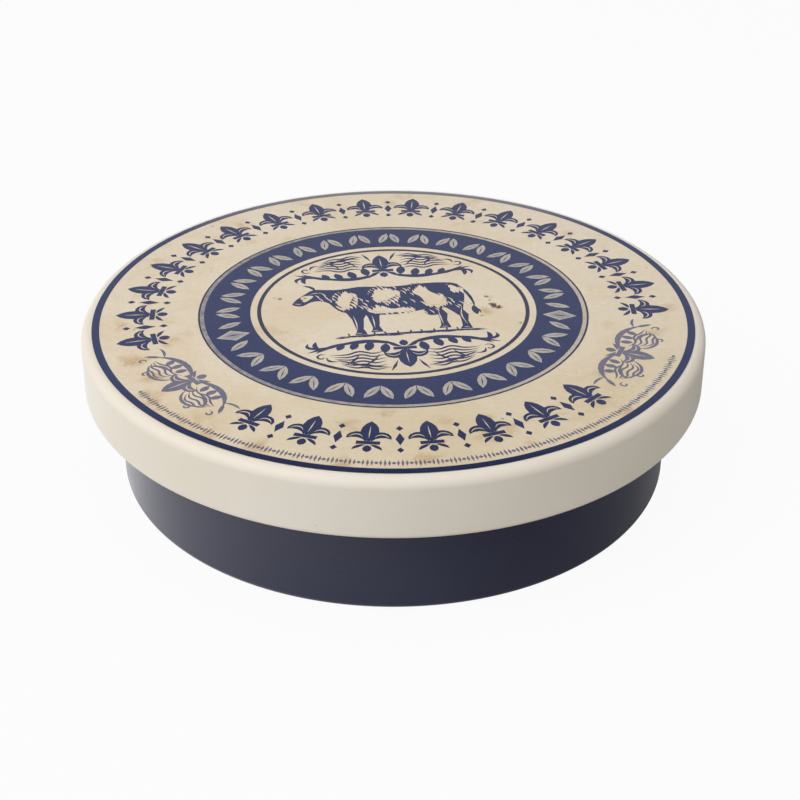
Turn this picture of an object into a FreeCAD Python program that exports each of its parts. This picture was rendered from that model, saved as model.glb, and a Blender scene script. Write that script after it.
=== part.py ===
import FreeCAD, Part
import math
import os

os.makedirs("parts", exist_ok=True)

# Baker for one small soft cheese: a straight-walled dish, and a cap-like lid that rests on its rim.
# Millimetres and degrees. +Z is up, and the origin is the centre of the foot, on the table.
# The front, where the print reads upright, is -Y.

# Dish
dish_radius = 70.0          # outside of the wall at the rim
dish_draft = 0.4            # how much wider the wall is at the foot
dish_height = 35.4          # table to rim
dish_wall = 4.5
dish_floor = 4.4
cove_round = 5.0            # inside corner of floor and wall
rim_round = 1.3
foot_edge_round = 1.6
foot_ring_width = 7.0       # flat unglazed ring that stands on the table
foot_recess = 1.0           # height of the underside above the table
foot_recess_slope = 2.0     # width of the slope up to it

# Lid
lid_plate = 4.5
lid_clearance = 2.5         # gap between the dish's wall and the skirt, all round
lid_wall = 5.2
lid_flare = 0.4             # how much the skirt widens down to its lip
lid_height = 14.8           # lip to top
shoulder_round = 2.4
lip_round = 1.2
lid_corner_round = 1.8      # inside corner of plate and skirt

# Print: a ground disc with two inks on it
film = 0.1                  # thickness of the ground, and of each ink on it
label_margin = 2.7          # how far the print's edge stays inside the lid's outside
label_turn = 7.6            # the print is turned a little anticlockwise on the lid

# The sizes of the print from here on are as it is drawn. It is then scaled so that its radius, which is
# the sum of what lies between its middle and its edge, is the label's.
edge_ring_width = 1.85
facet_sag = 0.08            # how far the straight sides of a small figure lie inside its arcs

# Navy band, the thin line round it and the line inside it
band_outer = 47.5
band_width = 11.5
outline_gap = 1.0
outline_width = 0.5
inner_line_gap = 1.7
inner_line_width = 1.0

# What is left bare in the band: a lozenge at each side, and pairs of leaves between them
lozenge_angle = 76.4        # from the front
lozenge_width = 5.4
lozenge_height = 8.6
lozenge_edge = 0.9          # bare edge round the faded lozenge inside each of them
leaf_length = 6.6
leaf_width = 2.3
leaf_lean = 24.0
leaf_spread = 1.3           # distance of each leaf's foot from the pair's middle
leaf_pitch = 11.5           # angle from one pair to the next
leaf_margin = 11.0          # angle kept free beside a lozenge

# Row of small beads along the front, just inside the edge ring
bead_size = 1.1
bead_gap = 1.5
bead_half_angle = 61.5
bead_count = 42

# Borders of lilies: a long one round the back and a short one at the front
back_gap = 7.45             # from the thin line round the band to the lilies' feet
back_height = 13.0
back_margin = 3.7           # from the lilies' tips to the edge ring
back_half_angle = 98.6      # the row runs this far each way from the back
back_lilies = 17
front_margin = 6.0          # from the edge ring to the lilies' feet
front_height = 12.4
front_half_angle = 37.6
front_lilies = 7

# Faded sprays between the two borders
spray_angle = 59.3          # from the front
spray_reach = 18.4          # half the width of a spray

# Centre: the cow, and an ornament above and below it
cow_length = 46.4
cow_rise = 0.7              # the cow's own origin above the middle of the label
scroll_margin = 2.6         # from the inner line to the tip of the ornament's lily
scroll_height = 13.4
scroll_reach = 21.6         # half the width of the ornament

# Derived levels and radii
lid_top = dish_height + lid_plate
lip_level = lid_top - lid_height
lid_inner = dish_radius + lid_clearance
lid_radius = lid_inner + lid_wall
skirt_slope = math.atan2(lid_flare, lid_height)
flat_radius = lid_radius - shoulder_round * (1 / math.cos(skirt_slope) - math.tan(skirt_slope))
label_radius = lid_radius - label_margin
ground_top = lid_top + film

# Derived radii of the print as it is drawn
outline_inner = band_outer + outline_gap
outline_outer = outline_inner + outline_width
back_feet = outline_outer + back_gap
drawn_radius = back_feet + back_height + back_margin + edge_ring_width
print_scale = label_radius / drawn_radius
field_radius = min(flat_radius / print_scale, drawn_radius - edge_ring_width)
bead_radius = field_radius - bead_gap - bead_size / 2
band_inner = band_outer - band_width
band_middle = (band_inner + band_outer) / 2
inner_line_outer = band_inner - inner_line_gap
inner_line_inner = inner_line_outer - inner_line_width
spray_radius = (outline_outer + field_radius) / 2
front_feet = field_radius - front_margin
scroll_foot = inner_line_inner - scroll_margin - scroll_height


def vector(x, y, z=0.0):
    return FreeCAD.Vector(x, y, z)


origin = vector(0, 0)
upward = vector(0, 0, 1)


def line(start, end):
    return Part.makeLine(start, end)


def arc(start, middle, end):
    return Part.Arc(start, middle, end).toShape()


def revolve_outline(points):
    """Closed outline of (radius, height) points, turned once round Z."""
    corners = [vector(radius, 0, height) for radius, height in points]
    face = Part.Face(Part.makePolygon(corners + corners[:1]))
    return face.revolve(origin, upward, 360)


def round_edges(solid, circles, size):
    """Rounds the circular edges that lie at the given (radius, height) pairs."""
    near = 1e-6
    chosen = []
    for edge in solid.Edges:
        if not isinstance(edge.Curve, Part.Circle):
            continue
        for radius, height in circles:
            same_radius = abs(edge.Curve.Radius - radius) < near
            if same_radius and abs(edge.Curve.Center.z - height) < near:
                chosen.append(edge)
    return solid.makeFillet(size, chosen)


def make_dish():
    foot_radius = dish_radius + dish_draft
    foot_inner = foot_radius - foot_edge_round - foot_ring_width
    inside = dish_radius - dish_wall
    body = revolve_outline([
        (0, foot_recess),
        (foot_inner - foot_recess_slope, foot_recess),
        (foot_inner, 0),
        (foot_radius, 0),
        (dish_radius, dish_height),
        (inside, dish_height),
        (inside, dish_floor),
        (0, dish_floor),
    ])
    body = round_edges(body, [(inside, dish_floor)], cove_round)
    body = round_edges(body, [(foot_radius, 0)], foot_edge_round)
    rim = min(rim_round, 0.45 * dish_wall)
    return round_edges(body, [(dish_radius, dish_height), (inside, dish_height)], rim)


def make_lid():
    lip_outer = lid_radius + lid_flare
    lip_inner = lid_inner + lid_flare
    body = revolve_outline([
        (0, lid_top),
        (lid_radius, lid_top),
        (lip_outer, lip_level),
        (lip_inner, lip_level),
        (lid_inner, dish_height),
        (0, dish_height),
    ])
    body = round_edges(body, [(lid_radius, lid_top)], shoulder_round)
    body = round_edges(body, [(lid_inner, dish_height)], min(lid_corner_round, 0.8 * lid_clearance))
    lip = min(lip_round, 0.45 * lid_wall)
    return round_edges(body, [(lip_outer, lip_level), (lip_inner, lip_level)], lip)


def make_film(lower, upper):
    """Layer between two heights above the lid's top, bent down where the print reaches onto the shoulder."""
    low = lid_top + lower
    high = lid_top + upper
    if label_radius <= flat_radius:
        return Part.makeCylinder(label_radius, upper - lower, vector(0, 0, low))
    bend = math.asin((label_radius - flat_radius) / shoulder_round)

    def on_shoulder(lift, angle):
        reach = shoulder_round + lift
        radius = flat_radius + reach * math.sin(angle)
        return vector(radius, 0, lid_top - shoulder_round + reach * math.cos(angle))

    edges = [
        line(vector(0, 0, low), on_shoulder(lower, 0)),
        arc(on_shoulder(lower, 0), on_shoulder(lower, bend / 2), on_shoulder(lower, bend)),
        line(on_shoulder(lower, bend), on_shoulder(upper, bend)),
        arc(on_shoulder(upper, bend), on_shoulder(upper, bend / 2), on_shoulder(upper, 0)),
        line(on_shoulder(upper, 0), vector(0, 0, high)),
        line(vector(0, 0, high), vector(0, 0, low)),
    ]
    return Part.Face(Part.Wire(edges)).revolve(origin, upward, 360)


def make_ring(inner, outer):
    """Flat ring of ink on the ground, between two radii of the print as drawn."""
    base = vector(0, 0, ground_top)
    hole = Part.makeCylinder(inner * print_scale, film, base)
    return Part.makeCylinder(outer * print_scale, film, base).cut(hole)


# Flat shapes that the motifs are drawn with. A motif stands on the origin and points along +Y.
def polygon(points):
    corners = [vector(x, y) for x, y in points]
    return Part.Face(Part.makePolygon(corners + corners[:1]))


def outline(curves):
    """Closed outline along curves that follow each other, each taken as a few straight sides."""
    points = []
    for curve in curves:
        points += curve.discretize(Deflection=facet_sag)[:-1]
    return Part.Face(Part.makePolygon(points + points[:1]))


def petal(length, width, lean=0.0, x=0.0, y=0.0, fullest=0.45):
    """Pointed oval from (x, y), leaning clockwise from +Y."""
    tip = vector(0, length)
    face = outline([
        arc(origin, vector(width / 2, length * fullest), tip),
        arc(tip, vector(-width / 2, length * fullest), origin),
    ])
    face.rotate(origin, upward, -lean)
    face.translate(vector(x, y))
    return face


def crescent(start, end, outer, inner):
    """Stroke with two pointed ends: its sides are arcs that bulge to the left of start to end."""
    first = vector(*start)
    last = vector(*end)
    middle = (first + last) * 0.5
    side = vector(first.y - last.y, last.x - first.x).normalize()
    return outline([
        arc(first, middle + side * outer, last),
        arc(last, middle + side * inner, first),
    ])


def lozenge(width, height, y=0.0):
    return polygon([(-width / 2, y), (0, y - height / 2), (width / 2, y), (0, y + height / 2)])


def closed_curve(points):
    """Smooth closed outline through the points."""
    curve = Part.BSplineCurve()
    curve.interpolate([vector(x, y) for x, y in points], PeriodicFlag=True)
    return outline([curve.toShape()])


def mirrored(faces):
    """The faces and their mirror images across the Y axis."""
    return faces + [face.mirror(origin, vector(1, 0)) for face in faces]


def ink(faces):
    """Raises the flat shapes of a motif into ink on the ground, joined where they overlap."""
    raised = []
    for face in faces:
        lifted = face.copy()
        lifted.scale(print_scale, origin)
        lifted.translate(vector(0, 0, ground_top))
        raised.append(lifted.extrude(vector(0, 0, film)))
    return raised[0].multiFuse(raised[1:]).removeSplitter().Solids if len(raised) > 1 else raised


def place(solids, radius, angle, turn=0.0):
    """Copies of a motif, turned, moved out to a drawn radius and taken round clockwise from the print's back."""
    placed = []
    for solid in solids:
        copy = solid.copy()
        copy.rotate(origin, upward, turn)
        copy.translate(vector(0, radius * print_scale))
        copy.rotate(origin, upward, label_turn - angle)
        placed.append(copy)
    return placed


def lily(height, y=0.0):
    """Heraldic lily: three petals over a bar, and its foot."""
    bar_half = height * 0.21
    bar_low = height * 0.25
    bar_high = height * 0.35
    faces = [
        petal(height * 0.67, height * 0.33, y=height * 0.33, fullest=0.5),
        polygon([(-bar_half, bar_low), (bar_half, bar_low), (bar_half, bar_high), (-bar_half, bar_high)]),
        petal(height * 0.22, height * 0.16, 180, y=height * 0.22, fullest=0.4),
    ] + mirrored([
        crescent((height * 0.05, height * 0.34), (height * 0.4, height * 0.43), height * 0.27, height * 0.08),
        crescent((height * 0.04, height * 0.23), (height * 0.27, height * 0.07), height * 0.07, -height * 0.01),
    ])
    for face in faces:
        face.translate(vector(0, y))
    return faces


def spacer(height):
    """Three lozenges in a column, between two lilies."""
    return [
        lozenge(height * 0.16, height * 0.4, height * 0.43),
        lozenge(height * 0.13, height * 0.16, height * 0.78),
        lozenge(height * 0.13, height * 0.16, height * 0.08),
    ]


def border(count, half_angle, radius, height, middle_angle, turn):
    """Lilies with spacers between them, spread evenly on an arc."""
    motifs = [ink(lily(height)), ink(spacer(height))]
    solids = []
    step = half_angle / (count - 1)
    for number in range(2 * count - 1):
        solids += place(motifs[number % 2], radius, middle_angle - half_angle + step * number, turn)
    return solids


def spray():
    """A small lily between two arched stems with split ends, leaves inside them and a loop over the leaves."""
    size = spray_reach
    return lily(size * 0.66, -size * 0.32) + mirrored([
        crescent((size * 0.04, -size * 0.11), (size * 0.79, -size * 0.05), -size * 0.21, -size * 0.13),
        crescent((size * 0.72, -size * 0.13), (size * 0.96, -size * 0.2), -size * 0.05, -size * 0.01),
        crescent((size * 0.74, -size * 0.11), (size * 0.89, size * 0.07), -size * 0.03, size * 0.03),
        crescent((size * 0.17, size * 0.07), (size * 0.62, size * 0.12), size * 0.19, size * 0.145),
        crescent((size * 0.64, size * 0.16), (size * 0.34, 0), size * 0.095, size * 0.045),
        petal(size * 0.17, size * 0.09, 14, x=size * 0.26, y=-size * 0.2),
        petal(size * 0.17, size * 0.09, 0, x=size * 0.41, y=-size * 0.22),
        petal(size * 0.17, size * 0.09, -16, x=size * 0.57, y=-size * 0.2),
    ])


def scroll():
    """A lily between two arched stems with leaves standing on them."""
    size = scroll_reach
    return lily(scroll_height) + mirrored([
        crescent((size * 0.04, size * 0.14), (size * 0.56, size * 0.04), -size * 0.12, -size * 0.055),
        crescent((size * 0.5, size * 0.01), (size, size * 0.2), -size * 0.09, -size * 0.03),
        crescent((size * 0.93, size * 0.14), (size * 0.97, -size * 0.07), size * 0.07, size * 0.01),
        crescent((size * 0.2, size * 0.6), (size * 0.78, size * 0.36), size * 0.06, size * 0.02),
        petal(size * 0.22, size * 0.11, 10, x=size * 0.2, y=size * 0.06),
        petal(size * 0.21, size * 0.11, 16, x=size * 0.36),
        petal(size * 0.19, size * 0.1, 22, x=size * 0.52, y=-size * 0.01),
        petal(size * 0.17, size * 0.09, 28, x=size * 0.67, y=size * 0.01),
    ])


def cow():
    """Standing cow in profile, facing left, with bare patches inside its dark coat."""
    coat = closed_curve([
        (-26.2, 4.4), (-25.0, 6.6), (-22.6, 9.4), (-20.0, 11.8), (-17.4, 11.6), (-12.6, 11.2),
        (-8.0, 12.2), (-2.0, 11.4), (4.6, 11.5), (10.0, 12.2), (15.0, 12.0), (18.4, 10.8),
        (19.9, 7.4), (19.5, 2.6), (17.4, -2.6), (13.6, -2.6), (9.6, -2.6), (3.0, -4.4),
        (-5.0, -4.4), (-9.6, -3.4), (-13.2, -2.2), (-15.4, 0.8), (-16.6, 3.6), (-19.0, 5.2),
        (-21.6, 4.6), (-24.2, 2.8),
    ])
    front_leg = [
        (-12.9, -1.6), (-7.2, -3.0), (-8.5, -6.4), (-8.7, -8.6), (-9.1, -11.8), (-8.7, -13.2),
        (-8.4, -14.8), (-11.6, -14.8), (-11.0, -13.2), (-10.9, -11.8), (-11.3, -8.6), (-11.5, -6.4),
    ]
    hind_leg = [
        (12.6, -1.0), (19.3, 2.0), (17.9, -4.4), (18.9, -7.3), (18.2, -10.8), (18.5, -13.2),
        (18.7, -14.8), (15.5, -14.8), (16.3, -13.2), (16.5, -10.8), (16.5, -7.9), (15.0, -5.0),
    ]
    far_front_leg = [(x + 4.2, y + 1.0) for x, y in front_leg]
    far_hind_leg = [(x - 5.4, y + 1.0) for x, y in hind_leg]
    udder = petal(5.2, 4.4, 196, x=10.6, y=-1.6, fullest=0.6)
    tail = crescent((18.0, 11.4), (21.2, -4.0), 1.7, 0.8)
    tuft = petal(5.2, 1.9, 178, x=21.0, y=-2.4)
    ear = petal(4.6, 2.0, 98, x=-19.0, y=10.6)
    horn = crescent((-19.6, 11.2), (-22.6, 14.6), -1.3, -0.3)
    legs = [polygon(points) for points in (front_leg, far_front_leg, hind_leg, far_hind_leg)]
    face_patch = [(-23.6, 6.2), (-21.6, 8.8), (-20.4, 8.4), (-21.2, 6.6), (-23.0, 5.0)]
    neck_patch = [(-14.6, 8.8), (-11.4, 10.0), (-9.8, 7.2), (-11.0, 3.4), (-12.0, -0.4),
                  (-14.0, 1.6), (-15.2, 4.8)]
    saddle_patch = [(-4.6, 10.6), (0.2, 10.5), (2.4, 7.4), (0.0, 4.4), (-2.8, 2.6), (-5.4, 5.6)]
    belly_patch = [(-6.6, -0.4), (-3.0, 0.6), (-0.2, -1.6), (3.6, -1.0), (5.2, -3.2), (-0.6, -3.7),
                   (-5.4, -3.6)]
    flank_patch = [(6.4, 10.8), (9.6, 11.2), (10.6, 7.6), (13.6, 3.6), (12.4, -1.6), (9.0, 0.2),
                   (7.8, 4.6)]
    rump_patch = [(15.8, 10.8), (17.8, 9.6), (18.8, 6.4), (17.4, 5.8), (16.0, 8.0)]
    patches = [face_patch, neck_patch, saddle_patch, belly_patch, flank_patch, rump_patch]
    ground = petal(38.0, 0.9, 90, x=-16.4, y=-15.2)
    grass = [petal(1.6, 0.6, 12 * (number % 3 - 1), x=-13.0 + 3.1 * number, y=-15.2) for number in range(11)]
    animal = [coat, udder, tail, tuft, ear, horn] + legs
    drawn_length = Part.makeCompound(animal).BoundBox.XLength
    bare = [closed_curve(points) for points in patches]
    meadow = [ground] + grass
    for face in animal + bare + meadow:
        face.scale(cow_length / drawn_length, origin)
        face.translate(vector(0, cow_rise))
    figure = Part.makeCompound(ink(animal)).cut(Part.makeCompound(ink(bare)))
    return figure.multiFuse(ink(meadow)).removeSplitter().Solids


def leaf_pairs():
    """Leaves left bare in the band: one row round the back and one round the front."""
    pair = ink(mirrored([petal(leaf_length, leaf_width, leaf_lean, x=leaf_spread, y=-leaf_length / 2)]))
    solids = []
    for middle_angle, lozenge_distance in ((0, 180 - lozenge_angle), (180, lozenge_angle)):
        half_angle = lozenge_distance - leaf_margin
        steps = round(2 * half_angle / leaf_pitch)
        for number in range(steps + 1):
            angle = middle_angle - half_angle + 2 * half_angle * number / steps
            solids += place(pair, band_middle, angle, middle_angle)
    return solids


def at_both_sides(solids, radius, angle, turn=0.0):
    """A motif on the left and on the right, at an angle from the front."""
    return place(solids, radius, 180 - angle, turn) + place(solids, radius, 180 + angle, turn)


def make_dark_print():
    edge_ring = make_film(film, 2 * film)
    inside = Part.makeCylinder(label_radius - edge_ring_width * print_scale, lid_top + lid_height)
    edge_ring = edge_ring.cut(inside)
    bare_lozenge = ink([lozenge(lozenge_width, lozenge_height)])
    bare = leaf_pairs() + at_both_sides(bare_lozenge, band_middle, lozenge_angle)
    rings = [
        edge_ring,
        make_ring(band_inner, band_outer).cut(Part.makeCompound(bare)),
        make_ring(outline_inner, outline_outer),
        make_ring(inner_line_inner, inner_line_outer),
    ]
    ornament = ink(scroll())
    figures = border(back_lilies, back_half_angle, back_feet, back_height, 0, 0)
    figures += border(front_lilies, front_half_angle, front_feet, front_height, 180, 180)
    figures += place(ornament, scroll_foot, 0) + place(ornament, scroll_foot, 180)
    return Part.makeCompound(rings + figures + place(cow(), 0, 0))


def make_faded_print():
    inset = [lozenge(lozenge_width - 2 * lozenge_edge, lozenge_height - 3 * lozenge_edge)]
    solids = at_both_sides(ink(inset), band_middle, lozenge_angle)
    solids += at_both_sides(ink(spray()), spray_radius, spray_angle)
    bead = ink([lozenge(bead_size, bead_size)])
    step = 2 * bead_half_angle / (bead_count - 1)
    for number in range(bead_count):
        solids += place(bead, bead_radius, 180 - bead_half_angle + step * number)
    return Part.makeCompound(solids)


def main():
    nodes = {
        "dish": make_dish(),
        "lid": make_lid(),
        "label_ground": make_film(0, film),
        "label_print": make_dark_print(),
        "label_print_faded": make_faded_print(),
    }
    for name, shape in nodes.items():
        shape.exportStep("parts/" + name + ".step")
        print(name, len(shape.Solids), "solids", round(shape.Volume, 1), "mm3", shape.isValid())


main()
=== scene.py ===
import math
import random

import bmesh
import bpy
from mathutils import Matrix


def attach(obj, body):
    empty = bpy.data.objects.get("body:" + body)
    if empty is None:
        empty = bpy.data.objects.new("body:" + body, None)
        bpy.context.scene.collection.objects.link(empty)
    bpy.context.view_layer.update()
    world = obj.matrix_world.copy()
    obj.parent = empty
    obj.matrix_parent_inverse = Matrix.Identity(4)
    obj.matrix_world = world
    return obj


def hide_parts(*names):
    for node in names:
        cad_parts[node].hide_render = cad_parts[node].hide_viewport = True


# Camembert baker: a dark dish under a cream lid that carries a printed ring ornament.
# Built in metres, in the frame of the CAD model. +Z is up and -Y is the front.
# The object's sizes are given in mm, its angles in degrees, and its colours as 0 to 255 on screen.
# Floor, camera and light are in metres.

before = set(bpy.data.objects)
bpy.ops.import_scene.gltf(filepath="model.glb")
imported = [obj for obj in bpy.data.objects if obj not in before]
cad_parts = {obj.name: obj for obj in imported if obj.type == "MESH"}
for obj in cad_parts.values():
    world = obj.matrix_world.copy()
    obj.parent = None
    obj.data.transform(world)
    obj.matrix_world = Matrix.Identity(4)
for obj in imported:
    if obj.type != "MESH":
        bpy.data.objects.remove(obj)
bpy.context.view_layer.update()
print("frame loaded:", ", ".join(sorted(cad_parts)))

mm = 0.001
fullTurn = 2 * math.pi
scene = bpy.context.scene
scene.view_settings.view_transform = "Standard"


def addNode(tree, kind, inputs=None, **settings):
    node = tree.nodes.new(kind)
    for name, value in settings.items():
        setattr(node, name, value)
    for name, value in (inputs or {}).items():
        if isinstance(value, bpy.types.NodeSocket):
            tree.links.new(value, node.inputs[name])
        else:
            node.inputs[name].default_value = value
    return node


def newMaterial(name):
    material = bpy.data.materials.new(name)
    material.use_nodes = True
    tree = material.node_tree
    tree.nodes.clear()
    return material, tree


def objectCoords(tree):
    return addNode(tree, "ShaderNodeTexCoord").outputs["Object"]


def along(tree, vector, axis):
    return addNode(tree, "ShaderNodeSeparateXYZ", {0: vector}).outputs[axis]


def flattened(tree, where):
    inputs = {0: where, 1: (1, 1, 0)}
    return addNode(tree, "ShaderNodeVectorMath", inputs, operation="MULTIPLY").outputs["Vector"]


def distanceFrom(tree, flat, x, y):
    inputs = {0: flat, 1: (x * mm, y * mm, 0)}
    return addNode(tree, "ShaderNodeVectorMath", inputs, operation="DISTANCE").outputs["Value"]


def calculate(tree, operation, first, second):
    return addNode(tree, "ShaderNodeMath", {0: first, 1: second}, operation=operation).outputs[0]


def mixColour(tree, factor, first, second, blend="MIX"):
    inputs = {0: factor, 6: first, 7: second}
    return addNode(tree, "ShaderNodeMix", inputs, data_type="RGBA", blend_type=blend).outputs[2]


def ramp(tree, value, low, high, fromValue=0.0, toValue=1.0):
    # turns the part of a value between low and high into a smooth rise, or a fall where low is the larger
    inputs = {0: value, 1: low, 2: high, 3: fromValue, 4: toValue}
    return addNode(tree, "ShaderNodeMapRange", inputs, interpolation_type="SMOOTHSTEP").outputs[0]


def lengthRamp(tree, length, low, high, fromValue=0.0, toValue=1.0):
    # the same for a length, between two lengths in mm
    return ramp(tree, length, low * mm, high * mm, fromValue, toValue)


def noise(tree, where, scale, detail, roughness=0.55, distortion=0.0):
    inputs = {"Vector": where, "Scale": scale, "Detail": detail, "Roughness": roughness,
              "Distortion": distortion}
    return addNode(tree, "ShaderNodeTexNoise", inputs).outputs["Fac"]


def patches(tree, where, grain, span, fromValue=0.0, toValue=1.0):
    # a noise whose values within the span go smoothly from one value to the other
    return ramp(tree, noise(tree, where, *grain), *span, fromValue, toValue)


def linear(colour):
    def channel(value):
        value /= 255
        return value / 12.92 if value <= 0.04045 else ((value + 0.055) / 1.055) ** 2.4
    return (*map(channel, colour), 1.0)


# Label: the print on the lid
label = {
    "top": 39.9,
    "film": 0.1,
    "ink": 0.03,
    "radius": 75.0,
    "ringInner": 73.15,
    "ringMargin": 0.2,
    "turn": 7.6,  # the print isn't quite square to the front
    "steps": 256,
}
groundTop = label["top"] + label["film"]
inkTop = groundTop + label["ink"]


def placed(point, radius=0.0, angle=0.0, turn=0.0):
    # a point of a motif that stands on the origin, taken out to a radius and clockwise from the print's back
    cosTurn, sinTurn = math.cos(math.radians(turn)), math.sin(math.radians(turn))
    x = point[0] * cosTurn - point[1] * sinTurn
    y = point[0] * sinTurn + point[1] * cosTurn + radius
    around = math.radians(label["turn"] - angle)
    return (x * math.cos(around) - y * math.sin(around), x * math.sin(around) + y * math.cos(around))


# Materials. A noise is given by its scale, detail, roughness and distortion. A span holds two of its values.
firedSkin = (500, 2, 0.5)
sheenSpan = (0.3, 0.7)


def satin(tree, where, look):
    # a roughness that drifts a little over the surface
    return patches(tree, where, look["sheen"], sheenSpan, *look["roughness"])


def finishGlaze(tree, where, look, colour, roughness):
    skin = {"Height": noise(tree, where, *firedSkin), "Distance": look["skinDepth"] * mm, "Strength": 1.0}
    shader = addNode(tree, "ShaderNodeBsdfPrincipled", {
        "Base Color": colour,
        "Roughness": roughness,
        "Normal": addNode(tree, "ShaderNodeBump", skin).outputs["Normal"],
        "IOR": look["ior"],
        "Specular IOR Level": look["shine"],
    })
    addNode(tree, "ShaderNodeOutputMaterial", {"Surface": shader.outputs["BSDF"]})


dishGlazeLook = {
    "base": (31, 33, 60),
    "pale": (36, 38, 66),
    "cloud": (26, 5, 0.6),
    "cloudSpan": (0.35, 0.7),
    "sheen": (60, 4),
    "roughness": (0.2, 0.28),
    "skinDepth": 0.01,
    "ior": 1.5,
    "shine": 0.5,
    "bareClay": (174, 158, 136),
    "clayShade": (138, 122, 102),
    "clayGrain": (900, 6, 0.7),
    "clayRoughness": 0.85,
    "glazeFrom": 0.35,
    "bareBelow": 0.15,
}


def makeDishGlaze(look):
    material, tree = newMaterial("dishGlaze")
    where = objectCoords(tree)
    cloud = patches(tree, where, look["cloud"], look["cloudSpan"])
    colour = mixColour(tree, cloud, linear(look["base"]), linear(look["pale"]))
    # the foot stands on bare clay
    bare = lengthRamp(tree, along(tree, where, "Z"), look["glazeFrom"], look["bareBelow"])
    clayGrain = noise(tree, where, *look["clayGrain"])
    clay = mixColour(tree, clayGrain, linear(look["bareClay"]), linear(look["clayShade"]))
    colour = mixColour(tree, bare, colour, clay)
    dull = calculate(tree, "MULTIPLY", bare, look["clayRoughness"])
    roughness = calculate(tree, "MAXIMUM", satin(tree, where, look), dull)
    finishGlaze(tree, where, look, colour, roughness)
    return material


lidGlazeLook = {
    "base": (232, 223, 208),
    "warm": (229, 218, 200),
    "cloud": (24, 4, 0.55),
    "cloudSpan": (0.35, 0.75),
    "speck": (186, 166, 138),
    "speckGrain": (900, 3, 0.5),
    "speckSpan": (0.72, 0.78),
    "speckStrength": 0.3,
    "sheen": (70, 4),
    "roughness": (0.33, 0.37),
    "skinDepth": 0.01,
    "ior": 1.45,
    "shine": 0.18,
}


def makeLidGlaze(look):
    material, tree = newMaterial("lidGlaze")
    where = objectCoords(tree)
    cloud = patches(tree, where, look["cloud"], look["cloudSpan"])
    colour = mixColour(tree, cloud, linear(look["base"]), linear(look["warm"]))
    speck = patches(tree, where, look["speckGrain"], look["speckSpan"], 0.0, look["speckStrength"])
    colour = mixColour(tree, speck, colour, linear(look["speck"]))
    finishGlaze(tree, where, look, colour, satin(tree, where, look))
    return material


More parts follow.
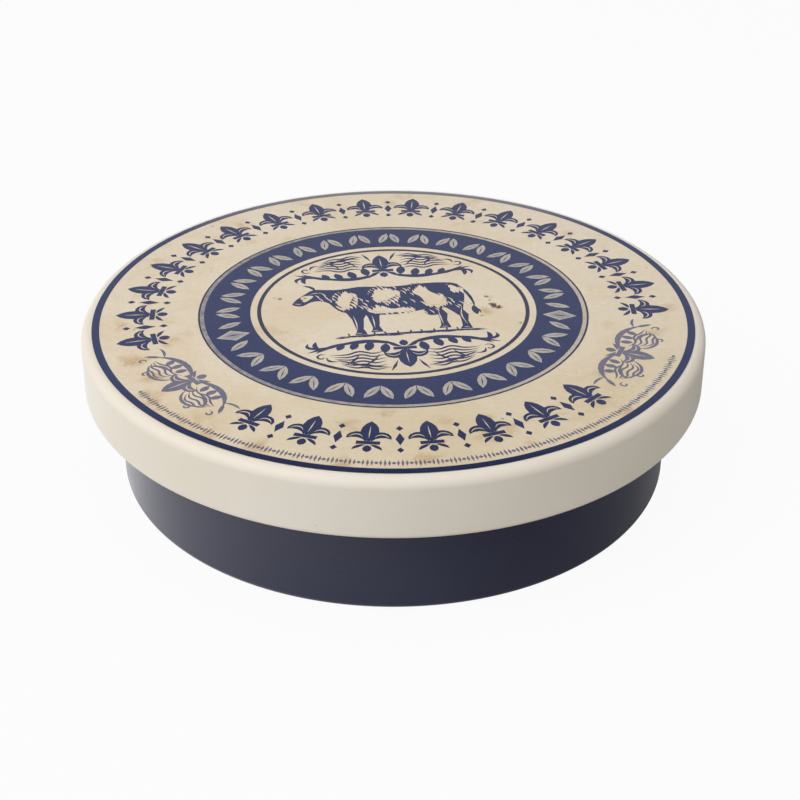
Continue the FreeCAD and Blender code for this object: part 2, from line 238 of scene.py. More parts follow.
# the stains and flecks are at x, y on the print, with a size and a strength
groundLook = {
    "paper": (233, 218, 194),
    "warm": (227, 209, 179),
    "cloud": (34, 7, 0.62, 0.5),
    "cloudSpan": (0.4, 0.68),
    "stain": (198, 164, 116),
    "blotch": (150, 7, 0.7, 0.6),
    "blotchMiddle": 0.36,
    "stainSpread": 2.4,
    "stainCore": 0.0,
    "faint": (60, 8, 0.7, 0.8),
    "faintSpan": (0.54, 0.72),
    "faintStrength": 0.4,
    "grain": (620, 5, 0.7),
    "grainSpan": (0.4, 0.72),
    "grainStrength": 0.16,
    # painted warm shade towards the front and right: its tint, its way and its reach in mm
    "frontShadeTint": (246, 245, 239),
    "shadeWay": (0.45, -0.89, 0.0),
    "shadeReach": 70.0,
    "haze": (168, 164, 160),
    "hazeInner": 36.2,
    "hazeOuter": 48.6,
    "hazeEdge": 0.3,
    "hazeGrain": (420, 4, 0.6),
    "hazeSpan": (0.35, 0.7),
    "hazeLeast": 0.65,
    "gapLeft": (118, 120, 132),
    "gapRight": (186, 174, 156),
    "gapInner": 47.4,
    "gapEdge": 0.2,
    "fleck": (84, 70, 62),
    "speckle": (900, 5, 0.7),
    "speckleMiddle": 0.5,
    "fleckSpread": 2.6,
    "fleckCore": 0.4,
    "sheen": (70, 4),
    "roughness": (0.2, 0.28),
    "skinDepth": 0.008,
    "ior": 1.45,
    "shine": 0.5,
    "stains": [
        (-67.4, -1.1, 6.0, 0.8), (-63.9, -18.3, 9.0, 1.0), (-54.8, -10.0, 8.0, 0.9),
        (-59.5, -27.0, 7.0, 0.8), (-58.9, -38.0, 9.5, 1.0), (-50.0, -46.0, 8.0, 0.8),
        (-60.6, 18.0, 6.0, 0.6), (-59.6, 36.0, 6.0, 0.7), (-43.0, 47.0, 7.0, 0.8),
        (-36.0, 56.0, 7.0, 0.85), (-34.0, 43.6, 5.0, 0.6), (-17.0, 69.6, 7.0, 0.9),
        (-48.0, -54.0, 6.0, 0.7), (-36.6, -61.0, 7.0, 0.8), (-17.4, -54.6, 7.0, 0.8),
        (-20.0, -69.5, 8.0, 1.0), (-9.6, -50.6, 7.5, 0.85), (-3.0, -68.6, 7.0, 0.9),
        (3.9, -55.4, 6.0, 0.7), (13.4, -59.3, 10.0, 1.0), (20.4, -66.3, 7.0, 0.8),
        (39.0, -52.0, 7.0, 0.75), (46.0, -58.0, 7.0, 0.75), (43.0, -41.0, 5.0, 0.6),
        (51.0, -16.6, 6.0, 0.7), (61.6, -22.0, 6.0, 0.6), (62.0, 11.0, 5.0, 0.6),
        (69.0, -9.7, 5.0, 0.6), (-28.9, -9.7, 4.0, 0.6), (30.4, -12.6, 4.0, 0.6),
        (22.5, -5.4, 4.5, 0.8), (25.5, 2.4, 3.0, 0.5), (8.0, 66.0, 7.0, 0.6),
        (30.0, 49.0, 6.0, 0.5), (54.0, 38.0, 6.0, 0.5), (60.0, -36.0, 5.0, 0.5),
    ],
    "flecks": [
        (25.0, -1.5, 1.0, 0.9), (25.5, -2.6, 1.5, 1.0), (26.2, -3.5, 1.2, 1.0), (24.3, 2.8, 0.8, 0.7),
        (24.8, 0.6, 0.5, 0.6), (27.4, -3.6, 0.4, 0.5), (-28.1, 8.2, 0.8, 0.75), (-29.6, 8.9, 0.4, 0.5),
        (21.2, -7.4, 0.6, 0.5), (19.8, -0.6, 0.4, 0.4), (30.0, -12.4, 0.5, 0.5), (-27.6, -9.8, 0.4, 0.4),
        (-64.6, -3.4, 0.5, 0.5), (-44.2, 56.0, 0.5, 0.4), (16.8, -56.0, 0.5, 0.5), (57.0, -33.4, 0.5, 0.4),
        (69.8, 13.6, 0.4, 0.5), (-52.2, -28.2, 0.5, 0.5), (-61.0, -14.0, 0.4, 0.4), (-24.0, -67.0, 0.5, 0.5),
    ],
}


def spotSum(tree, flat, spots, broken, spread, core):
    # one value that is high on each of the spots, with an edge that the noise breaks up round its core
    total = 0.0
    for x, y, size, strength in spots:
        distance = distanceFrom(tree, flat, *placed((x, y)))
        uneven = calculate(tree, "ADD", distance, calculate(tree, "MULTIPLY", broken, size * spread * mm))
        spot = lengthRamp(tree, uneven, size, size * core, 0.0, strength)
        total = calculate(tree, "MAXIMUM", total, spot)
    return total


def groundStains(tree, where, flat, look):
    # stains at their places, faint ones anywhere, and a fine grain
    blotch = calculate(tree, "SUBTRACT", noise(tree, where, *look["blotch"]), look["blotchMiddle"])
    stain = spotSum(tree, flat, look["stains"], blotch, look["stainSpread"], look["stainCore"])
    faint = patches(tree, where, look["faint"], look["faintSpan"], 0.0, look["faintStrength"])
    stain = calculate(tree, "MAXIMUM", stain, faint)
    grain = patches(tree, where, look["grain"], look["grainSpan"], 0.0, look["grainStrength"])
    return calculate(tree, "MAXIMUM", stain, grain)


def bandHaze(tree, where, flat, look):
    # the ground greys under the blue band and in the gap round it: how far, and to what colour
    radius = distanceFrom(tree, flat, 0, 0)
    outward = lengthRamp(tree, radius, look["hazeInner"] - look["hazeEdge"], look["hazeInner"])
    inward = lengthRamp(tree, radius, look["hazeOuter"], look["hazeOuter"] - look["hazeEdge"])
    worn = patches(tree, where, look["hazeGrain"], look["hazeSpan"], look["hazeLeast"], 1.0)
    share = calculate(tree, "MULTIPLY", calculate(tree, "MULTIPLY", outward, inward), worn)
    inGap = lengthRamp(tree, radius, look["gapInner"] - look["gapEdge"], look["gapInner"])
    toRight = lengthRamp(tree, along(tree, where, "X"), -look["gapInner"], look["gapInner"])
    gapColour = mixColour(tree, toRight, linear(look["gapLeft"]), linear(look["gapRight"]))
    return share, mixColour(tree, inGap, linear(look["haze"]), gapColour)


def makeAgedGround(look):
    material, tree = newMaterial("agedGround")
    where = objectCoords(tree)
    flat = flattened(tree, where)
    cloud = patches(tree, where, look["cloud"], look["cloudSpan"])
    colour = mixColour(tree, cloud, linear(look["paper"]), linear(look["warm"]))
    colour = mixColour(tree, groundStains(tree, where, flat, look), colour, linear(look["stain"]))
    # painted warm shade: the ground is made darker and yellower towards the front and right
    wayInputs = {0: where, 1: look["shadeWay"]}
    towardShade = addNode(tree, "ShaderNodeVectorMath", wayInputs, operation="DOT_PRODUCT").outputs["Value"]
    paintedWarmShade = lengthRamp(tree, towardShade, 0, look["shadeReach"])
    colour = mixColour(tree, paintedWarmShade, colour, linear(look["frontShadeTint"]), "MULTIPLY")
    hazed, haze = bandHaze(tree, where, flat, look)
    colour = mixColour(tree, hazed, colour, haze)
    speckle = calculate(tree, "SUBTRACT", noise(tree, where, *look["speckle"]), look["speckleMiddle"])
    flecks = spotSum(tree, flat, look["flecks"], speckle, look["fleckSpread"], look["fleckCore"])
    colour = mixColour(tree, flecks, colour, linear(look["fleck"]))
    finishGlaze(tree, where, look, colour, satin(tree, where, look))
    return material


# Each ink has its colours at the back and at the front of the lid, the lighter back being a painted
# reflection of the glaze, how far it is worn, and how far it fades at the far back, which is painted
# reflection too. Its rings are bands of another tint: inner and outer radius, tint and share.
inkLooks = {
    "navyInk": {
        "back": (52, 61, 98),
        "front": (30, 41, 78),
        "worn": (90, 92, 116),
        "wear": 0.3,
        "backSheenFade": 0.0,
        "rings": [(32.9, 34.7, (58, 60, 74), 0.6), (48.2, 49.4, (58, 60, 74), 0.6)],
    },
    "ringInk": {
        "back": (50, 60, 98),
        "front": (10, 26, 68),
        "worn": (76, 82, 108),
        "wear": 0.22,
        "backSheenFade": 0.5,
        "rings": [],
    },
    "fadedInk": {
        "back": (114, 112, 132),
        "front": (106, 104, 128),
        "worn": (152, 146, 148),
        "wear": 0.5,
        "backSheenFade": 0.0,
        "rings": [(36.0, 47.4, (164, 160, 158), 0.85)],
    },
}
# what the inks share: the two reaches are along Y, for the painted reflection that lightens the ink from
# front to back and for the painted paling at the far back
printLook = {
    "sheenReach": (-74, -33),
    "sheenFadeReach": (40, 74),
    # the pale colour of the painted reflection at the far back
    "faded": (166, 160, 156),
    "cloud": (90, 5, 0.65),
    "cloudSpan": (0.4, 0.72),
    "cloudShare": 0.35,
    "grain": (1100, 4, 0.65),
    "grainSpan": (0.52, 0.72),
    "grainShare": 0.65,
    "sheen": (70, 4),
    "roughness": (0.2, 0.28),
    "skinDepth": 0.008,
    "ior": 1.45,
    "shine": 0.5,
}


def makeInk(name, ink, look):
    # a fired print: darker towards the front and paler at the far back, both painted reflection of the
    # glaze; uneven in tone, with a grain where the ground shows through
    material, tree = newMaterial(name)
    where = objectCoords(tree)
    depth = along(tree, where, "Y")
    # painted reflection: the ink is lighter towards the back
    paintedSheenToBack = lengthRamp(tree, depth, *look["sheenReach"])
    colour = mixColour(tree, paintedSheenToBack, linear(ink["front"]), linear(ink["back"]))
    # painted reflection: the ink pales further at the far back
    paintedSheenFarBack = lengthRamp(tree, depth, *look["sheenFadeReach"], 0.0, ink["backSheenFade"])
    colour = mixColour(tree, paintedSheenFarBack, colour, linear(look["faded"]))
    radius = distanceFrom(tree, flattened(tree, where), 0, 0)
    for inner, outer, tint, share in ink["rings"]:
        outside = calculate(tree, "GREATER_THAN", radius, inner * mm)
        inRing = calculate(tree, "MULTIPLY", outside, calculate(tree, "LESS_THAN", radius, outer * mm))
        colour = mixColour(tree, calculate(tree, "MULTIPLY", inRing, share), colour, linear(tint))
    cloud = patches(tree, where, look["cloud"], look["cloudSpan"], 0.0, look["cloudShare"])
    grain = patches(tree, where, look["grain"], look["grainSpan"], 0.0, look["grainShare"])
    wear = calculate(tree, "MULTIPLY", calculate(tree, "ADD", cloud, grain), ink["wear"])
    colour = mixColour(tree, wear, colour, linear(ink["worn"]))
    finishGlaze(tree, where, look, colour, satin(tree, where, look))
    return material


dishGlaze = makeDishGlaze(dishGlazeLook)
lidGlaze = makeLidGlaze(lidGlazeLook)
agedGround = makeAgedGround(groundLook)
inks = {name: makeInk(name, ink, printLook) for name, ink in inkLooks.items()}
print("materials made:", len(bpy.data.materials))


def newPiece(bm, name, material):
    mesh = bpy.data.meshes.new(name)
    bm.to_mesh(mesh)
    bm.free()
    piece = bpy.data.objects.new(name, mesh)
    scene.collection.objects.link(piece)
    mesh.materials.append(material)
    return piece


def finishPiece(bm, name, material, slot, *replacedNodes):
    piece = newPiece(bm, name, material)
    if replacedNodes:
        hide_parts(*replacedNodes)
    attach(piece, "root")
    return piece


# Turned pieces: an outline has its corners as radius, height and rounding
turned = {"roundSteps": 8, "weld": 0.001, "flatWeight": 80}


def spinOutline(corners, steps, closed=False):
    bm = bmesh.new()
    verts = [bm.verts.new((radius * mm, 0, height * mm)) for radius, height, rounding in corners]
    for start, end in zip(verts, verts[1:]):
        bm.edges.new((start, end))
    if closed:
        bm.edges.new((verts[-1], verts[0]))
    for vert, (radius, height, rounding) in zip(verts, corners):
        if rounding:
            bmesh.ops.bevel(bm, geom=[vert], offset=rounding * mm, offset_type="OFFSET", affect="VERTICES",
                            segments=turned["roundSteps"], profile=0.5, clamp_overlap=False, material=-1)
    bmesh.ops.spin(bm, geom=bm.verts[:] + bm.edges[:], cent=(0, 0, 0), axis=(0, 0, 1), angle=fullTurn,
                   steps=steps, use_merge=True, use_duplicate=False)
    bmesh.ops.remove_doubles(bm, verts=bm.verts[:], dist=turned["weld"] * mm)
    bmesh.ops.recalc_face_normals(bm, faces=bm.faces[:])
    for face in bm.faces:
        face.smooth = True
    return bm


def evenNormals(piece):
    # keeps the flat faces flat beside the rounded edges
    piece.modifiers.new("evenNormals", "WEIGHTED_NORMAL").weight = turned["flatWeight"]


# Dish
dish = {
    "radius": 70.0,
    "footRadius": 70.4,
    "rimHeight": 35.4,
    "wall": 4.5,
    "floorHeight": 4.4,
    "recess": 1.0,
    "ringInner": 61.8,
    "slope": 2.0,
    "recessRound": 0.6,
    "ringRound": 0.3,
    "footRound": 1.6,
    "rimRound": 1.3,
    "floorRound": 5.0,
    "steps": 192,
}
dishInside = dish["radius"] - dish["wall"]
dishOutline = [
    (0, dish["recess"], 0),
    (dish["ringInner"] - dish["slope"], dish["recess"], dish["recessRound"]),
    (dish["ringInner"], 0, dish["ringRound"]),
    (dish["footRadius"], 0, dish["footRound"]),
    (dish["radius"], dish["rimHeight"], dish["rimRound"]),
    (dishInside, dish["rimHeight"], dish["rimRound"]),
    (dishInside, dish["floorHeight"], dish["floorRound"]),
    (0, dish["floorHeight"], 0),
]
dishBody = finishPiece(spinOutline(dishOutline, dish["steps"]), "dish_body", dishGlaze, "dish_glaze", "dish")
evenNormals(dishBody)

# Lid
lid = {
    "top": label["top"],
    "underside": dish["rimHeight"],
    "lip": 25.1,
    "radius": 77.7,
    "lipRadius": 78.1,
    "inner": 72.5,
    "lipInner": 72.9,
    "shoulderRound": 2.4,
    "lipRound": 1.2,
    "innerRound": 1.8,
    "steps": 192,
}
lidOutline = [
    (0, lid["top"], 0),
    (lid["radius"], lid["top"], lid["shoulderRound"]),
    (lid["lipRadius"], lid["lip"], lid["lipRound"]),
    (lid["lipInner"], lid["lip"], lid["lipRound"]),
    (lid["inner"], lid["underside"], lid["innerRound"]),
    (0, lid["underside"], 0),
]
lidBody = finishPiece(spinOutline(lidOutline, lid["steps"]), "lid_body", lidGlaze, "lid_glaze", "lid")
evenNormals(lidBody)
print("dish and lid made")


# Print: its ground and its edge ring are spun, and the figures are those of the CAD model
def film(inner, outer, low, high):
    # a thin disc, or a ring where it has an inner radius
    corners = [(inner, low, 0), (outer, low, 0), (outer, high, 0), (inner, high, 0)]
    return spinOutline(corners, label["steps"], closed=inner > 0)


labelGround = finishPiece(film(0, label["radius"], label["top"], groundTop), "label_ground_film", agedGround,
                          "label_cream", "label_ground")
edgeRing = finishPiece(film(label["ringInner"], label["radius"], groundTop, inkTop), "label_edge_ring",
                       inks["ringInk"], "print_navy", "label_print")
evenNormals(labelGround)
evenNormals(edgeRing)


def inkCopy(nodeName):
    # the node's figures as one clean mesh, thinner than its solids and without the edge ring
    bm = bmesh.new()
    bm.from_mesh(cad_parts[nodeName].data)
    bmesh.ops.remove_doubles(bm, verts=bm.verts[:], dist=2 * turned["weld"] * mm)
    ringFrom = (label["ringInner"] - label["ringMargin"]) * mm
    onRing = [vert for vert in bm.verts if vert.co.xy.length > ringFrom]
    bmesh.ops.delete(bm, geom=onRing, context="VERTS")
    for vert in bm.verts:
        if vert.co.z > (groundTop + label["film"] / 2) * mm:
            vert.co.z = inkTop * mm
    return bm


finishPiece(inkCopy("label_print"), "label_navy_print", inks["navyInk"], "print_navy", "label_print")
finishPiece(inkCopy("label_print_faded"), "label_faded_print", inks["fadedInk"], "print_faded",
            "label_print_faded")
print("print made")

# Fine lines of the print. A stroke is (points, width): it swells in its middle and ends in points.
strokes = {
    "level": groundTop + 0.012,
    "cutLevel": groundTop + 0.036,
    "halfHeight": 0.014,
    "pressedFrom": 0.05,
    "tip": 0.12,
    "swell": 0.5,
    "weld": 0.0005,
    "resolution": 5,
}


def mirroredStrokes(motif):
    # a motif's right half, and its left half to match
    return motif + [([(-x, y) for x, y in points], width) for points, width in motif]


def laidOut(motif, radius, angle, turn=0.0):
    return [([placed(point, radius, angle, turn) for point in points], width) for points, width in motif]


def drawStrokes(name, motif, level, material, slot):
    # one curve with a spline for each stroke, made a mesh and pressed flat on the print
    curve = bpy.data.curves.new(name, "CURVE")
    curve.dimensions = "3D"
    curve.twist_mode = "Z_UP"
    curve.bevel_depth = 1 * mm  # each point's radius scales it
    curve.bevel_resolution = 1
    curve.resolution_u = strokes["resolution"]
    curve.use_fill_caps = True
    for points, width in motif:
        spline = curve.splines.new("BEZIER")
        last = len(points) - 1
        spline.bezier_points.add(last)
        for number, (knot, (x, y)) in enumerate(zip(spline.bezier_points, points)):
            knot.co = (x * mm, y * mm, 0)
            knot.handle_left_type = knot.handle_right_type = "AUTO"
            fullness = math.sin(math.pi * number / last) ** strokes["swell"]
            knot.radius = width / 2 * (strokes["tip"] + (1 - strokes["tip"]) * fullness)
    drawn = bpy.data.objects.new(name, curve)
    scene.collection.objects.link(drawn)
    shape = bpy.data.meshes.new_from_object(drawn)
    bpy.data.objects.remove(drawn)
    bm = bmesh.new()
    bm.from_mesh(shape)
    bmesh.ops.remove_doubles(bm, verts=bm.verts[:], dist=strokes["weld"] * mm)
    for vert in bm.verts:
        side = max(-1, min(1, vert.co.z / (strokes["pressedFrom"] * mm)))
        vert.co.z = (level + strokes["halfHeight"] * side) * mm
    bmesh.ops.recalc_face_normals(bm, faces=bm.faces[:])
    return finishPiece(bm, name, material, slot)


# Lines in the ornaments above and below the cow: low and high are their limits, as (x, y).
# A curl is x, y and size.
flourish = {
    "height": 13.4,
    "radius": 17.3,
    "low": [(4.8, 5.2), (7.9, 5.4), (11.1, 4.9), (14.3, 5.4), (18.2, 5.8)],
    "high": [(5.4, 13.4), (7.9, 13.1), (10.4, 12.6), (12.9, 11.8), (15.8, 10.6)],
    "lines": 6,
    "wave": 0.34,
    "lineWidth": 0.72,
    "crossed": [[(6.4, 6.4), (8.2, 9.2), (11.6, 12.0)], [(11.2, 6.0), (12.6, 8.4), (15.0, 10.6)]],
    "stem": [(1.2, 2.6), (4.2, 0.7), (8.6, -0.5), (13.6, 0.2), (19.6, 2.2)],
    "stemWidth": 1.3,
    "ends": [
        [(17.6, 1.0), (20.6, 2.6), (23.4, 3.8)],
        [(18.4, 1.4), (21.4, 1.9), (23.2, 0.9), (23.0, -0.8)],
    ],
    "endWidth": 1.1,
    "curls": [(20.2, 6.2, 1.5)],
    "curlWidth": 0.56,
    "feathers": [[(2.5, 9.8), (3.5, 12.4), (4.6, 14.6)], [(16.4, 8.8), (18.6, 8.2), (19.2, 6.4)]],
    "featherWidth": 0.8,
    "cutWidth": 0.3,
}
# a curl's start and its turn from point to point are in radians
curlShape = {"points": 7, "shrink": 0.12, "turn": 0.9, "start": 2.4}


def curl(x, y, size, width):
    # a small spiral
    points = []
    for step in range(curlShape["points"]):
        reach = size * (1 - curlShape["shrink"] * step)
        around = curlShape["turn"] * step - curlShape["start"]
        points.append((x + reach * math.cos(around), y + reach * math.sin(around)))
    return (points, width)


def waveLines(look):
    motif = []
    for number in range(look["lines"]):
        share = number / (look["lines"] - 1)
        points = []
        for place, (low, high) in enumerate(zip(look["low"], look["high"])):
            rise = look["wave"] * (1 if place % 2 else -1)
            points.append((low[0] + (high[0] - low[0]) * share, low[1] + (high[1] - low[1]) * share + rise))
        motif.append((points, look["lineWidth"]))
    return motif


def curlLines(look):
    return [curl(x, y, size, look["curlWidth"]) for x, y, size in look["curls"]]


def wingLines(look):
    motif = waveLines(look) + [(look["stem"], look["stemWidth"])]
    motif += [(points, look["lineWidth"]) for points in look["crossed"]]
    motif += [(points, look["endWidth"]) for points in look["ends"]]
    motif += curlLines(look)
    motif += [(points, look["featherWidth"]) for points in look["feathers"]]
    return mirroredStrokes(motif)


# Lines in the faded sprays
sprayLook = {
    "height": 12.14,
    "radius": 61.075,
    "foot": -5.89,
    "angle": 59.3,
    "low": [(3.2, -0.9), (5.8, -0.4), (8.4, -0.8), (11.2, -0.3), (13.2, 0.6)],
    "high": [(4.6, 2.6), (6.6, 3.6), (8.8, 3.7), (10.6, 3.2), (12.2, 2.2)],
    "lines": 4,
    "wave": 0.3,
    "lineWidth": 0.6,
    "curls": [(14.6, 2.8, 1.1), (9.0, 5.2, 1.1)],
    "curlWidth": 0.52,
    "cutWidth": 0.36,
}


def sprayLines(look):
    return mirroredStrokes(waveLines(look) + curlLines(look))


# Cuts in the lilies: their points are shares of a lily's height
lilyLook = {
    "backCount": 17,
    "backHalfAngle": 98.6,
    "backRadius": 56.45,
    "backHeight": 13.0,
    "frontCount": 7,
    "frontHalfAngle": 37.6,
    "frontRadius": 67.15,
    "frontHeight": 12.4,
    "cutWidth": 0.34,
    "sideCut": [(0.1, 0.47), (0.18, 0.555), (0.28, 0.55), (0.36, 0.475)],
    "middleCut": [(0, 0.44), (0, 0.62), (0, 0.84)],
}


def lilyCuts(height, width):
    side = [(x * height, y * height) for x, y in lilyLook["sideCut"]]
    middle = [(x * height, y * height) for x, y in lilyLook["middleCut"]]
    return [(middle, width)] + mirroredStrokes([(side, width)])


def rowOf(count, halfAngle, middleAngle):
    # the angles of an even row, to both sides of its middle
    return [middleAngle - halfAngle + 2 * halfAngle * number / (count - 1) for number in range(count)]


# Veins in the band's leaves and lozenges
bandLook = {
    "middle": 41.75,
    "lozengeAngle": 76.4,
    "leafLength": 6.6,
    "leafLean": 24.0,
    "leafSpread": 1.3,
    "leafPitch": 11.5,
    "leafMargin": 11.0,
    "veinShares": (0.12, 0.45, 0.78),
    "veinWidth": 0.3,
    "lozengeVein": [(0.0, -1.7), (0.1, 0.0), (0.0, 1.7)],
    "lozengeVeinWidth": 0.55,
}


def veinPair(look):
    lean = math.radians(look["leafLean"])
    points = []
    for share in look["veinShares"]:
        reach = look["leafLength"] * share
        x = look["leafSpread"] + reach * math.sin(lean)
        points.append((x, reach * math.cos(lean) - look["leafLength"] / 2))
    return mirroredStrokes([(points, look["veinWidth"])])


def leafVeins(look):
    # the row at the back and the row at the front both stop short of the lozenges
    motif = []
    for middle, lozengeDistance in ((0, 180 - look["lozengeAngle"]), (180, look["lozengeAngle"])):
        halfAngle = lozengeDistance - look["leafMargin"]
        pairs = round(2 * halfAngle / look["leafPitch"]) + 1
        for angle in rowOf(pairs, halfAngle, middle):
            motif += laidOut(veinPair(look), look["middle"], angle, middle)
    return motif


def lozengeVeins(look):
    motif = []
    for side in (-1, 1):
        vein = [(look["lozengeVein"], look["lozengeVeinWidth"])]
        motif += laidOut(vein, look["middle"], 180 + side * look["lozengeAngle"])
    return motif


# Ticks between the beads of the front edge
tickLook = {
    "radius": 71.1,
    "halfAngle": 61.5,
    "beads": 42,
    "heights": (2.0, 2.5, 2.0),
    "spread": 0.25,
    "width": 0.6,
}


def tickRow(look):
    motif = []
    step = 2 * look["halfAngle"] / (look["beads"] - 1)
    for number in range(look["beads"] - 1):
        middle = 180 - look["halfAngle"] + step * (number + 0.5)
        for place, height in zip((-1, 0, 1), look["heights"]):
            tick = [([(0, -height / 2), (0, 0), (0, height / 2)], look["width"])]
            motif += laidOut(tick, look["radius"], middle + place * step * look["spread"])
    return motif


# Cow: hairs along the edges of its patches and over its coat, and cuts on its legs, from the print's middle.
# A patch is about an ellipse: x, y, half width, half height and lean. A field of the coat has its left, low,
# right and high limits and its count of hairs.
cowLook = {
    "patches": [(-12.1, 5.8, 2.7, 5.1, -8), (-1.9, 7.5, 3.8, 4.1, 0), (-1.2, -0.7, 5.8, 2.0, -8),
                (9.1, 5.7, 3.4, 6.6, 20), (16.6, 9.1, 1.6, 2.5, 20)],
    "hairStep": 1.15,
    "hairLength": (1.6, 3.6),
    "hairWidth": 0.95,
    "hairWay": (0.42, -0.91),
    "hairBend": 0.12,
    "hairRoot": 0.35,
    "hairLeast": 0.15,
    "coat": [(-19.5, 5.6, -15.8, 10.4, 5), (-9.2, -2.6, -6.4, 10.2, 6), (-5.6, 1.6, 3.6, 3.4, 4),
             (2.6, -2.4, 5.4, 11.0, 5), (-5.0, 12.0, 3.0, 12.4, 2), (12.9, -2.0, 18.6, 6.2, 9),
             (6.0, -2.6, 11.6, -1.2, 3)],
    "coatPlace": (0.2, 0.8),
    "coatLength": (1.6, 3.2),
    "coatWidth": 0.5,
    "legs": [[(-10.6, -3.4), (-10.2, -7.6), (-10.3, -11.4)], [(-5.9, -3.8), (-5.8, -7.4), (-5.9, -10.6)],
             [(17.2, -1.6), (16.4, -6.6), (17.0, -11.4)], [(10.9, -3.6), (11.0, -7.0), (11.1, -10.8)]],
    "faceCuts": [[(-24.6, 5.0), (-23.6, 4.6), (-22.8, 4.7)], [(-20.4, 9.6), (-19.0, 10.2), (-17.4, 10.0)],
                 [(-18.6, 7.8), (-17.6, 6.4), (-17.2, 5.0)]],
    "cutWidth": 0.4,
    "hooves": [(-10.0, -12.9), (-6.0, -12.0), (16.6, -12.9), (11.3, -12.0)],
    "hoofHalf": 0.8,
    "hoofRise": 0.15,
    "hoofWidth": 0.3,
    "faceLines": [[(-22.3, 7.5), (-21.8, 7.8), (-21.2, 7.6)], [(-23.4, 6.3), (-22.6, 6.9), (-22.2, 6.6)]],
    "tail": [[(20.0, -2.6), (20.9, -4.6), (20.4, -6.6)], [(20.6, -2.6), (21.3, -4.4), (21.4, -6.2)]],
    "lineWidth": 0.5,
    "ground": {"left": -16.2, "right": 18.4, "level": -14.5, "length": (2.6, 5.2), "shift": (-0.35, 0.25),
               "arch": 0.2, "pitch": 0.72, "width": 0.95},
}
cowRandom = random.Random(5)


def hair(look, x, y, length, width):
    wayX, wayY = look["hairWay"]
    bend = look["hairBend"] * length
    middle = (x + wayX * length / 2 + bend, y + wayY * length / 2)
    return ([(x, y), middle, (x + wayX * length, y + wayY * length)], width)


def patchHairs(look):
    # a hair that runs into a bare patch is dark, and one that runs out of it is bare
    dark, bare = [], []
    wayX, wayY = look["hairWay"]
    for x, y, halfWidth, halfHeight, lean in look["patches"]:
        count = round(math.pi * (halfWidth + halfHeight) / look["hairStep"])
        leanCos, leanSin = math.cos(math.radians(lean)), math.sin(math.radians(lean))
        for number in range(count):
            around = fullTurn * number / count
            outX, outY = math.cos(around) / halfWidth, math.sin(around) / halfHeight
            px, py = halfWidth * math.cos(around), halfHeight * math.sin(around)
            edgeX, edgeY = x + px * leanCos - py * leanSin, y + px * leanSin + py * leanCos
            normalX, normalY = outX * leanCos - outY * leanSin, outX * leanSin + outY * leanCos
            inward = -(normalX * wayX + normalY * wayY) / math.hypot(normalX, normalY)
            length = cowRandom.uniform(*look["hairLength"])
            root = look["hairRoot"] * length
            if abs(inward) > look["hairLeast"]:
                drawn = hair(look, edgeX - wayX * root, edgeY - wayY * root, length, look["hairWidth"])
                (dark if inward > 0 else bare).append(drawn)
    return dark, bare


def coatHairs(look):
    hairs = []
    for left, low, right, high, count in look["coat"]:
        for number in range(count):
            x = left + (right - left) * (number + cowRandom.uniform(*look["coatPlace"])) / count
            y = cowRandom.uniform(low, high)
            hairs.append(hair(look, x, y, cowRandom.uniform(*look["coatLength"]), look["coatWidth"]))
    return hairs


def groundStrokes(ground):
    # the broken line that the cow stands on
    motif = []
    x = ground["left"]
    while x < ground["right"]:
        length = cowRandom.uniform(*ground["length"])
        y = ground["level"] + cowRandom.uniform(*ground["shift"])
        motif.append(([(x, y), (x + length / 2, y + ground["arch"]), (x + length, y)], ground["width"]))
        x += length * ground["pitch"]
    return motif


def cowStrokes(look):
    dark, bare = patchHairs(look)
    dark += [(points, look["lineWidth"]) for points in look["faceLines"] + look["tail"]]
    dark += groundStrokes(look["ground"])
    bare += coatHairs(look)
    bare += [(points, look["cutWidth"]) for points in look["legs"] + look["faceCuts"]]
    half, rise = look["hoofHalf"], look["hoofRise"]
    bare += [([(x - half, y), (x, y + rise), (x + half, y)], look["hoofWidth"]) for x, y in look["hooves"]]
    return dark, bare


navyLines, cutLines = (laidOut(motif, 0, 0) for motif in cowStrokes(cowLook))
flourishCuts = lilyCuts(flourish["height"], flourish["cutWidth"])
for angle in (0, 180):
    navyLines += laidOut(wingLines(flourish), flourish["radius"], angle)
    cutLines += laidOut(flourishCuts, flourish["radius"], angle)
navyLines += leafVeins(bandLook)
backCuts = lilyCuts(lilyLook["backHeight"], lilyLook["cutWidth"])
for angle in rowOf(lilyLook["backCount"], lilyLook["backHalfAngle"], 0):
    cutLines += laidOut(backCuts, lilyLook["backRadius"], angle)
frontCuts = lilyCuts(lilyLook["frontHeight"], lilyLook["cutWidth"])
for angle in rowOf(lilyLook["frontCount"], lilyLook["frontHalfAngle"], 180):
    cutLines += laidOut(frontCuts, lilyLook["frontRadius"], angle, 180)
fadedLines = tickRow(tickLook)
sprayCuts = lilyCuts(sprayLook["height"], sprayLook["cutWidth"])
for angle in (180 - sprayLook["angle"], 180 + sprayLook["angle"]):
    fadedLines += laidOut(sprayLines(sprayLook), sprayLook["radius"], angle)
    cutLines += laidOut(sprayCuts, sprayLook["radius"] + sprayLook["foot"], angle)

lozengeLines = lozengeVeins(bandLook)
drawStrokes("label_navy_lines", navyLines, strokes["level"], inks["navyInk"], "print_navy")
drawStrokes("label_lozenge_lines", lozengeLines, strokes["cutLevel"], inks["navyInk"], "print_navy")
drawStrokes("label_faded_lines", fadedLines, strokes["level"], inks["fadedInk"], "print_faded")
drawStrokes("label_cut_lines", cutLines, strokes["cutLevel"], agedGround, "label_cream")
print("fine lines drawn:", len(navyLines) + len(lozengeLines) + len(fadedLines) + len(cutLines))

# Floor. The glaze mirrors it, and there it is dimmer on the right, away from the key light.
floorLook = {
    "size": 40.0,
    "colour": (0.62, 0.62, 0.62, 1.0),
    "glow": 0.94,
    "litLeft": -0.08,
    "dimRight": 0.06,
    "lit": 1.25,
    "dim": 0.26,
}


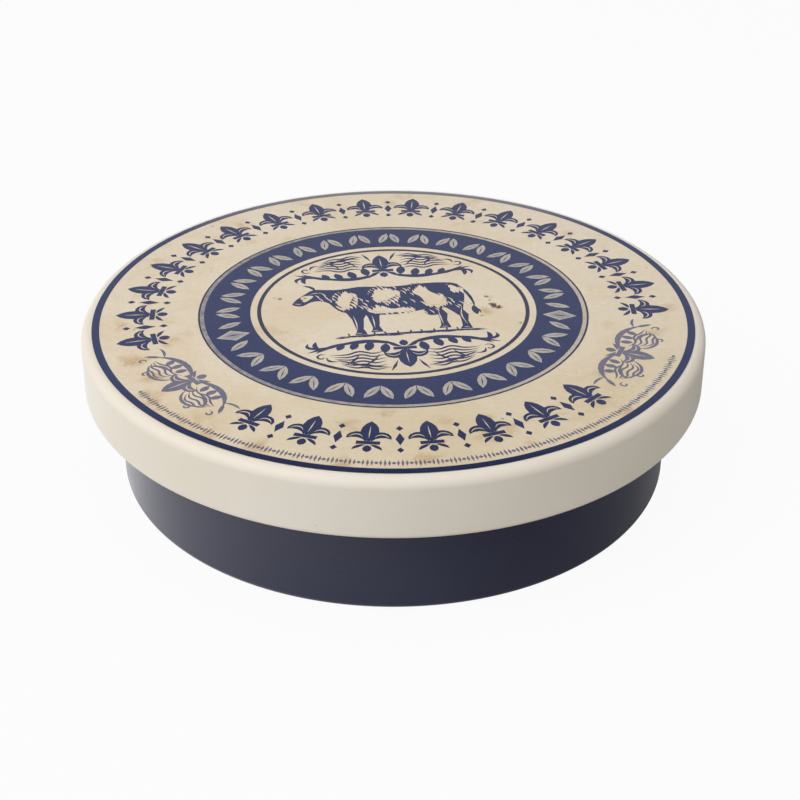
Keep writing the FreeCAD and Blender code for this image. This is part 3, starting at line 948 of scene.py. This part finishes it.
def makeFloor(look):
    material, tree = newMaterial("floorPaint")
    matt = addNode(tree, "ShaderNodeBsdfDiffuse", {"Color": look["colour"]})
    lightPath = addNode(tree, "ShaderNodeLightPath").outputs
    across = along(tree, objectCoords(tree), "X")
    mirrored = ramp(tree, across, look["litLeft"], look["dimRight"], look["lit"], look["dim"])
    strength = ramp(tree, lightPath["Is Camera Ray"], 0.0, 1.0, mirrored, 1.0)
    glow = addNode(tree, "ShaderNodeEmission", {"Color": (1, 1, 1, 1), "Strength": strength})
    seen = calculate(tree, "MAXIMUM", lightPath["Is Camera Ray"], lightPath["Is Glossy Ray"])
    seen = calculate(tree, "MAXIMUM", seen, lightPath["Is Transmission Ray"])
    share = calculate(tree, "MULTIPLY", seen, look["glow"])
    paint = addNode(tree, "ShaderNodeMixShader", {0: share, 1: matt.outputs[0], 2: glow.outputs[0]})
    addNode(tree, "ShaderNodeOutputMaterial", {"Surface": paint.outputs[0]})
    bm = bmesh.new()
    bmesh.ops.create_grid(bm, x_segments=1, y_segments=1, size=look["size"] / 2)
    return newPiece(bm, "floor", material)


makeFloor(floorLook)
print("floor made")

# Camera
cameraLook = {
    "place": (0.0, -0.31955, 0.20513),
    "pitch": 31.067,
    "lens": 63.98,
    "sensor": 36,
    "shift": 0.0083,
    "nearest": 0.01,
}


def makeCamera(look):
    data = bpy.data.cameras.new("camera")
    data.lens = look["lens"]
    data.sensor_width = look["sensor"]
    data.shift_x = look["shift"]
    data.clip_start = look["nearest"]
    camera = bpy.data.objects.new("camera", data)
    camera.location = look["place"]
    camera.rotation_euler = (math.radians(90 - look["pitch"]), 0, 0)
    scene.collection.objects.link(camera)
    return camera


scene.camera = makeCamera(cameraLook)
print("camera set")

# Light: lamps that face the object, with their power in watts
lampLooks = {
    "key": {
        "place": (-0.92, -0.62, 1.0),
        "size": (1.3, 1.0),
        "power": 12.6,
        "colour": (0.93, 0.965, 1.0),
    },
    "overhead": {
        "place": (0.0, -0.1, 1.5),
        "size": (2.0, 1.6),
        "power": 13.4,
        "colour": (1.0, 1.0, 1.0),
    },
}
# the room round it: bands of light by height, a strength on each side, and the backdrop that the camera sees
roomLook = {
    "bands": [(0.0, (0.95, 0.95, 0.95, 1)), (0.38, (0.5, 0.5, 0.51, 1)), (0.62, (0.16, 0.16, 0.17, 1))],
    "left": -0.8,
    "right": 0.8,
    "leftStrength": 0.92,
    "rightStrength": 0.74,
    "backdrop": (0.965, 0.965, 0.965, 1),
}


def makeLamp(name, look):
    data = bpy.data.lights.new(name, "AREA")
    data.shape = "RECTANGLE"
    data.size, data.size_y = look["size"]
    data.energy = look["power"]
    data.color = look["colour"]
    lamp = bpy.data.objects.new(name, data)
    lamp.location = look["place"]
    lamp.rotation_euler = (-lamp.location).to_track_quat("-Z", "Y").to_euler()
    scene.collection.objects.link(lamp)


def makeRoom(look):
    world = bpy.data.worlds.new("studio")
    world.use_nodes = True
    tree = world.node_tree
    tree.nodes.clear()
    direction = addNode(tree, "ShaderNodeTexCoord").outputs["Generated"]
    bands = addNode(tree, "ShaderNodeValToRGB", {0: along(tree, direction, "Z")})
    stops = bands.color_ramp.elements
    for number, (height, colour) in enumerate(look["bands"]):
        stop = stops[number] if number < len(stops) else stops.new(height)
        stop.position = height
        stop.color = colour
    sideInputs = {0: along(tree, direction, "X"), 1: look["left"], 2: look["right"], 3: look["leftStrength"],
                  4: look["rightStrength"]}
    sideways = addNode(tree, "ShaderNodeMapRange", sideInputs).outputs[0]
    light = addNode(tree, "ShaderNodeBackground", {"Color": bands.outputs[0], "Strength": sideways})
    backdrop = addNode(tree, "ShaderNodeBackground", {"Color": look["backdrop"], "Strength": 1.0})
    cameraRay = addNode(tree, "ShaderNodeLightPath").outputs["Is Camera Ray"]
    room = addNode(tree, "ShaderNodeMixShader", {0: cameraRay, 1: light.outputs[0], 2: backdrop.outputs[0]})
    addNode(tree, "ShaderNodeOutputWorld", {"Surface": room.outputs[0]})
    return world


for name, look in lampLooks.items():
    makeLamp(name, look)
scene.world = makeRoom(roomLook)
print("light set")
